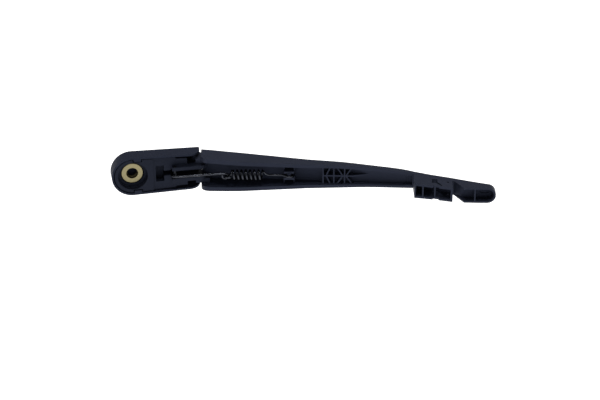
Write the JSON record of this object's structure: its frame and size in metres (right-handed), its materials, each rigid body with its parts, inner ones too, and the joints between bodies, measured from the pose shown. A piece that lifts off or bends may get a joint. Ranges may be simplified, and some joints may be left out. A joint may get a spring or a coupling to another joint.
{
  "type": "rear wiper arm",
  "caption": "Folding wiper arm with a spindle head, brass stepped bore, clip-on cover, spring-loaded hinge and a moulded channel with a blade holder at its tip.",
  "frame": {"origin": "centre of the spindle bore at its mouth on the glass side", "axes": "+X along the head towards the tip, -Y along the spindle towards the glass, +Z across the arm"},
  "size_m": [0.3034, 0.0978, 0.0348],
  "materials": {
    "cover_plastic": "satin",
    "head_plastic": "satin",
    "arm_plastic": "satin",
    "brass": "turned",
    "pin_steel": "plain",
    "spring_steel": "drawn wire"
  },
  "bodies": {
    "head": {"head_cover": "cover_plastic", "head_body": "head_plastic", "spindle_insert": "brass", "hinge_pin": "pin_steel", "anchor_pin": "pin_steel"},
    "arm": {"arm": "arm_plastic"},
    "spring": {"spring": "spring_steel"},
    "link": {"spring_link": "spring_steel"}
  },
  "joints": [
    {"name": "arm_lift", "type": "hinge", "parent": "head", "child": "arm", "pos_m": [0.0535, 0.004, 0], "axis": [0, 0, 1], "range_deg": [0, 40], "stiffness_Nm_per_rad": 0.3, "springref_deg": -57.3},
    {"name": "spring_swing", "type": "hinge", "parent": "arm", "child": "spring", "pos_m": [0.12617, -0.02557, 0], "axis": [0, 0, 1], "range_deg": [-7.95, 0]},
    {"name": "link_pull", "type": "slide", "parent": "spring", "child": "link", "axis": [-0.9805, 0.1965, 0], "range_m": [0, 0.0074], "deforming": ["spring"]}
  ],
  "couplings": [
    {"joint": "spring_swing", "follows": "arm_lift", "ratio": -0.19758},
    {"joint": "link_pull", "follows": "arm_lift", "m_per_rad": 0.010392}
  ]
}
